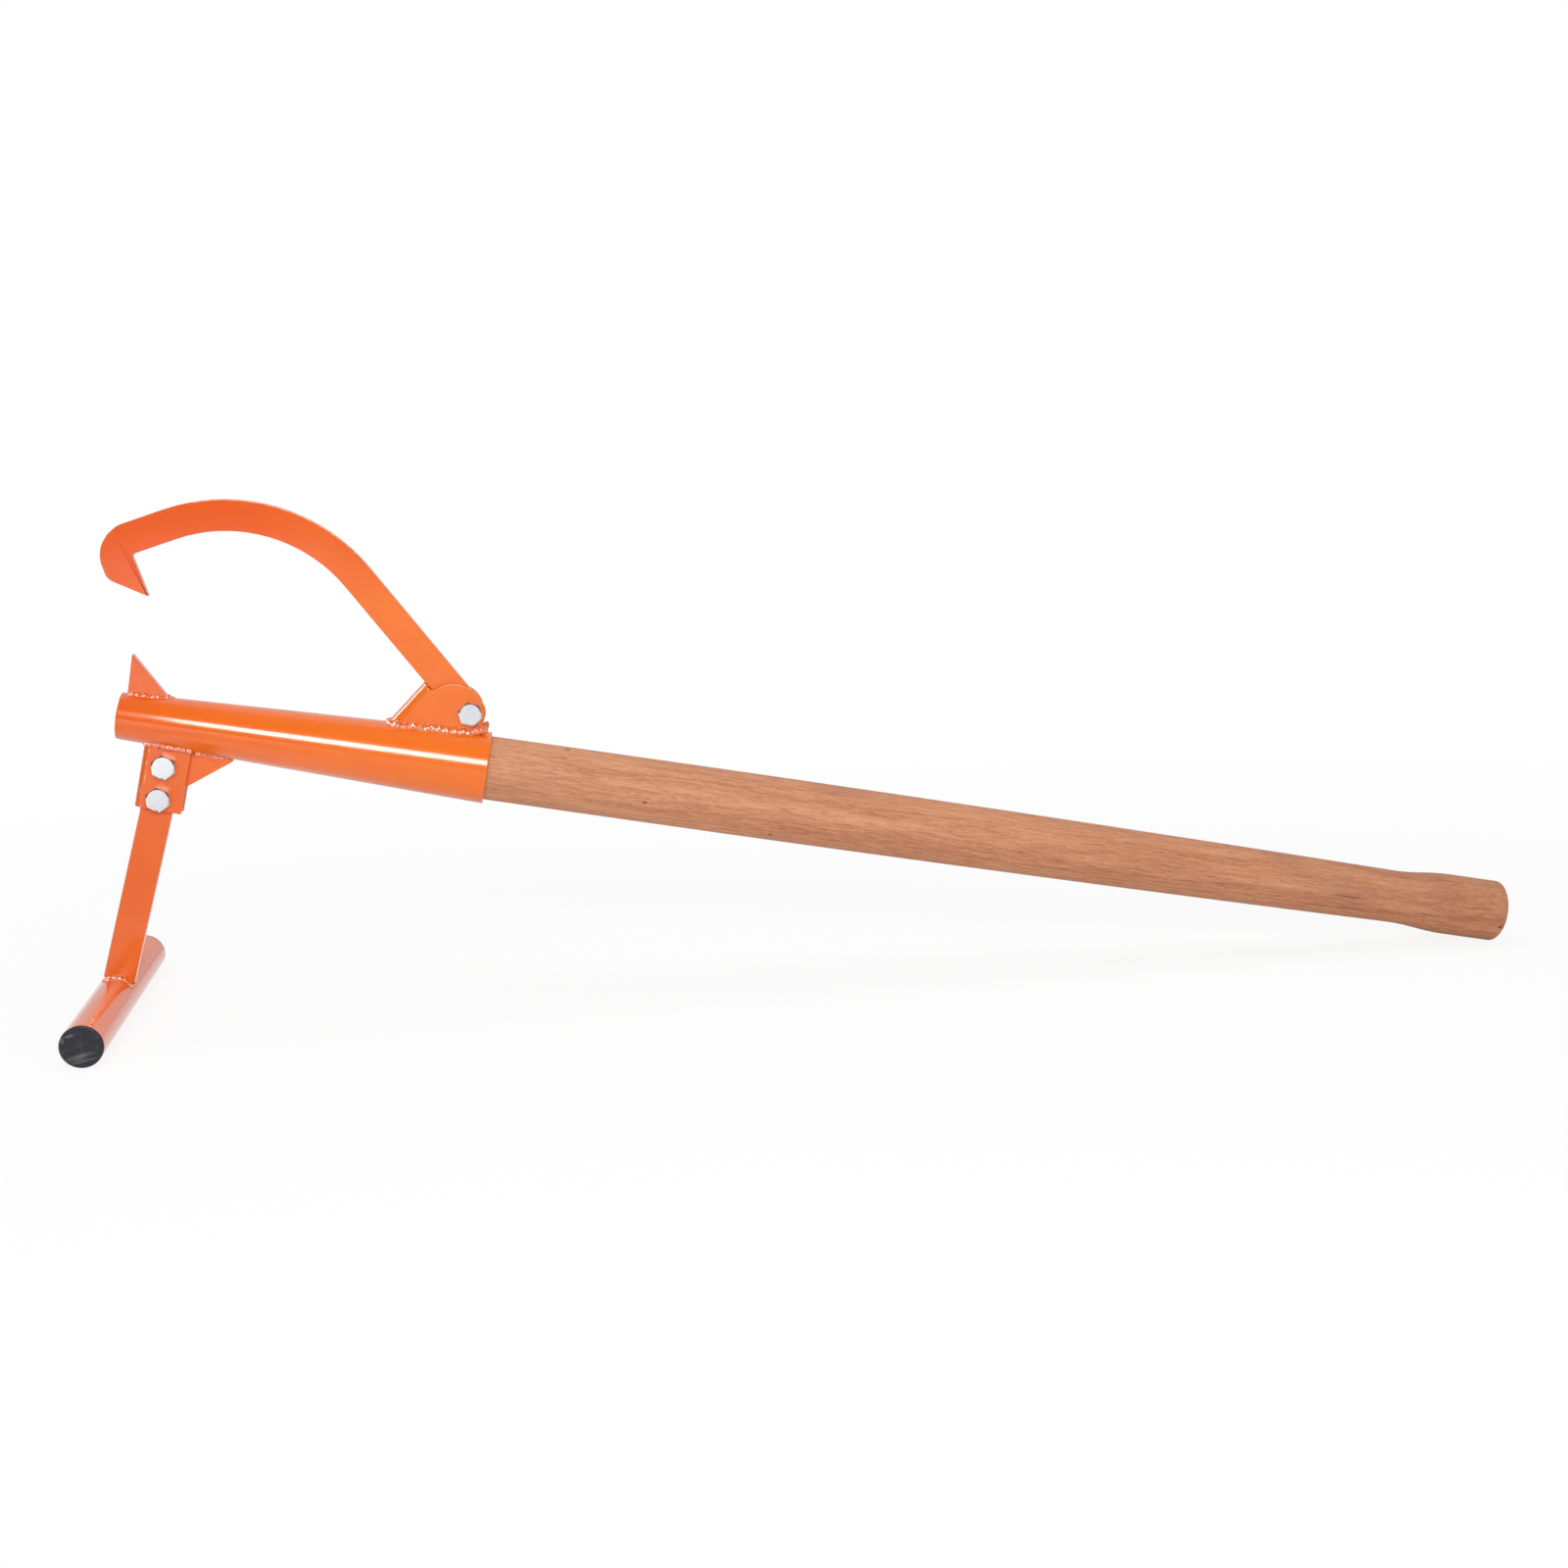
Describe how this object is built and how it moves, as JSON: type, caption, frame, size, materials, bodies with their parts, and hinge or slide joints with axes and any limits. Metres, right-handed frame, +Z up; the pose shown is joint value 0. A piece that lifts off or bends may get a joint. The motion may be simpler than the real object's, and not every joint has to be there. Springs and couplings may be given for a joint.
{
  "type": "log lifter",
  "caption": "Log lifter: turned wooden handle in a tapered steel sleeve, with a swinging arched hook, a fixed tooth and a bolted T-foot that holds the log off the ground.",
  "frame": {"origin": "on the ground, below the middle of the tool's length, in its plane of symmetry", "axes": "+X from the hook end to the butt of the handle, level with the ground; +Y across the tool, to the side of the nuts; +Z up, as it rests on its foot bar and butt"},
  "size_m": [1.2422, 0.27, 0.4273],
  "materials": {
    "orange_paint": "glossy powder coat",
    "weld_paint": "glossy powder coat over rippled weld beads",
    "ash_wood": "sanded hardwood under a thin satin varnish",
    "zinc_plate": "bright zinc plate",
    "black_plastic": "moulded, lightly scuffed",
    "nylon": "plain"
  },
  "bodies": {
    "frame": {"sleeve": "orange_paint", "handle": "ash_wood", "tooth": "orange_paint", "tooth_weld": "weld_paint", "hook_bracket": "orange_paint", "hook_bracket_weld": "weld_paint", "hook_bolt": "zinc_plate", "hook_nut": "zinc_plate", "hook_nut_ring": "nylon", "leg_bracket": "orange_paint", "leg_bracket_weld": "weld_paint", "gusset": "orange_paint", "gusset_weld": "weld_paint", "upper_leg_bolt": "zinc_plate", "upper_leg_nut": "zinc_plate", "upper_leg_nut_ring": "nylon", "lower_leg_bolt": "zinc_plate", "lower_leg_nut": "zinc_plate", "lower_leg_nut_ring": "nylon", "leg": "orange_paint", "foot_bar": "orange_paint", "foot_weld": "weld_paint", "front_cap": "black_plastic", "back_cap": "black_plastic"},
    "hook": {"hook": "orange_paint"}
  },
  "joints": [
    {"name": "hook_pivot", "type": "hinge", "parent": "frame", "child": "hook", "pos_m": [-0.299, 0, 0.24638], "axis": [0, 1, 0], "range_deg": [0, 138]}
  ]
}
